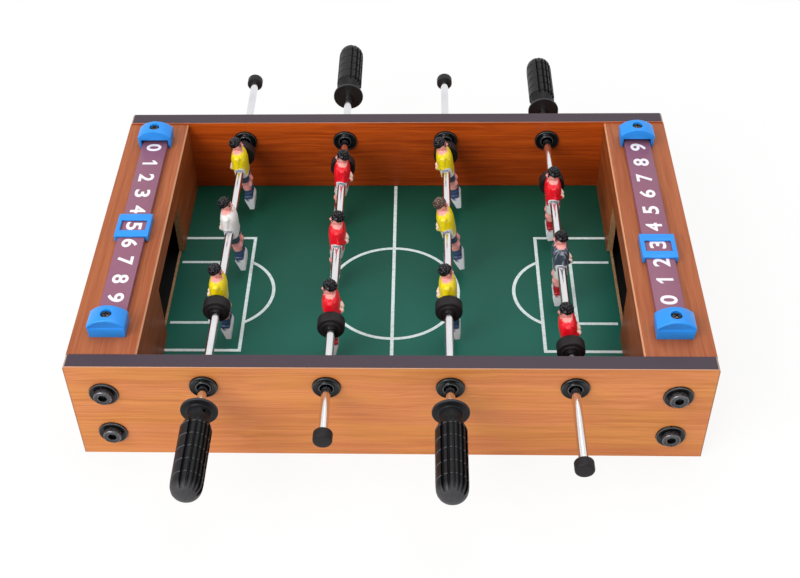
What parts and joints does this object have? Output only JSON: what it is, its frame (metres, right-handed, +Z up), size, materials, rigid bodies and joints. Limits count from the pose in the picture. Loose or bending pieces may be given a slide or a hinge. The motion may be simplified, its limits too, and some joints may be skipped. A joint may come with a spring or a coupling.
{
  "type": "tabletop foosball table",
  "caption": "Small tabletop foosball table with a laminated cabinet, sliding and turning player rods, goals, and sliding score counters.",
  "frame": {"origin": "under the middle of the bounding box, on the surface that the cabinet stands on", "axes": "+X along the table, +Y along the rods away from the near long side, +Z up"},
  "size_m": [0.345, 0.396, 0.083],
  "materials": {
    "laminate": "satin cherry laminate on board",
    "end_laminate": "satin laminate on folded board",
    "raw_board": "raw fibreboard",
    "field_green": "printed green board with pale lines",
    "black_plastic": "satin moulded",
    "black_rubber": "soft matt",
    "black_steel": "blackened",
    "rod_chrome": "polished",
    "blue_plastic": "glossy moulded",
    "rail_mauve": "satin moulded",
    "yellow_plastic": "painted figure in a yellow shirt",
    "white_plastic": "painted figure in a white shirt",
    "red_plastic": "painted figure in a red shirt",
    "grey_plastic": "painted figure in a dark grey shirt"
  },
  "bodies": {
    "cabinet": {"front_panel": "laminate", "back_panel": "laminate", "playfield_board": "field_green", "end_frame_left": "raw_board", "end_frame_right": "raw_board", "goal_cover_left": "end_laminate", "goal_cover_right": "end_laminate", "score_rail_left": "rail_mauve", "score_rail_right": "rail_mauve", "bolt_front_left_lower": "black_steel", "bolt_front_left_upper": "black_steel", "bolt_front_right_lower": "black_steel", "bolt_front_right_upper": "black_steel", "bushing_front_1": "black_plastic", "bushing_front_2": "black_plastic", "bushing_front_3": "black_plastic", "bushing_front_4": "black_plastic", "bolt_back_left_lower": "black_steel", "bolt_back_left_upper": "black_steel", "bolt_back_right_lower": "black_steel", "bolt_back_right_upper": "black_steel", "bushing_back_1": "black_plastic", "bushing_back_2": "black_plastic", "bushing_back_3": "black_plastic", "bushing_back_4": "black_plastic"},
    "rod_1_slide": {"rod_1_end_cap": "black_rubber"},
    "rod_1": {"rod_1_bar": "rod_chrome", "rod_1_handle": "black_plastic", "rod_1_bumper_by_handle": "black_rubber", "rod_1_bumper_by_cap": "black_rubber", "rod_1_player_1_yellow": "yellow_plastic", "rod_1_player_2_white": "white_plastic", "rod_1_player_3_yellow": "yellow_plastic"},
    "rod_2_slide": {"rod_2_end_cap": "black_rubber"},
    "rod_2": {"rod_2_bar": "rod_chrome", "rod_2_handle": "black_plastic", "rod_2_bumper_by_handle": "black_rubber", "rod_2_bumper_by_cap": "black_rubber", "rod_2_player_1_red": "red_plastic", "rod_2_player_2_red": "red_plastic", "rod_2_player_3_red": "red_plastic"},
    "rod_3_slide": {"rod_3_end_cap": "black_rubber"},
    "rod_3": {"rod_3_bar": "rod_chrome", "rod_3_handle": "black_plastic", "rod_3_bumper_by_handle": "black_rubber", "rod_3_bumper_by_cap": "black_rubber", "rod_3_player_1_yellow": "yellow_plastic", "rod_3_player_2_yellow": "yellow_plastic", "rod_3_player_3_yellow": "yellow_plastic"},
    "rod_4_slide": {"rod_4_end_cap": "black_rubber"},
    "rod_4": {"rod_4_bar": "rod_chrome", "rod_4_handle": "black_plastic", "rod_4_bumper_by_handle": "black_rubber", "rod_4_bumper_by_cap": "black_rubber", "rod_4_player_1_red": "red_plastic", "rod_4_player_2_grey": "grey_plastic", "rod_4_player_3_red": "red_plastic"},
    "score_slider_left": {"score_slider_left": "blue_plastic"},
    "score_slider_right": {"score_slider_right": "blue_plastic"}
  },
  "joints": [
    {"name": "rod_1_push", "type": "slide", "parent": "cabinet", "child": "rod_1_slide", "axis": [0, 1, 0], "range_m": [-0.044, 0.0076]},
    {"name": "rod_1_spin", "type": "hinge", "parent": "rod_1_slide", "child": "rod_1", "pos_m": [-0.0987, 0.0065, 0.0562], "axis": [0, 1, 0], "continuous": true},
    {"name": "rod_2_push", "type": "slide", "parent": "cabinet", "child": "rod_2_slide", "axis": [0, 1, 0], "range_m": [-0.031, 0.0206]},
    {"name": "rod_2_spin", "type": "hinge", "parent": "rod_2_slide", "child": "rod_2", "pos_m": [-0.0329, -0.0065, 0.0562], "axis": [0, 1, 0], "continuous": true},
    {"name": "rod_3_push", "type": "slide", "parent": "cabinet", "child": "rod_3_slide", "axis": [0, 1, 0], "range_m": [-0.044, 0.0076]},
    {"name": "rod_3_spin", "type": "hinge", "parent": "rod_3_slide", "child": "rod_3", "pos_m": [0.0329, 0.0065, 0.0562], "axis": [0, 1, 0], "continuous": true},
    {"name": "rod_4_push", "type": "slide", "parent": "cabinet", "child": "rod_4_slide", "axis": [0, 1, 0], "range_m": [-0.0134, 0.0382]},
    {"name": "rod_4_spin", "type": "hinge", "parent": "rod_4_slide", "child": "rod_4", "pos_m": [0.0987, -0.0241, 0.0562], "axis": [0, 1, 0], "continuous": true},
    {"name": "score_slider_left_slide", "type": "slide", "parent": "cabinet", "child": "score_slider_left", "axis": [0, 1, 0], "range_m": [-0.0655, 0.0697]},
    {"name": "score_slider_right_slide", "type": "slide", "parent": "cabinet", "child": "score_slider_right", "axis": [0, 1, 0], "range_m": [-0.0476, 0.0876]}
  ]
}
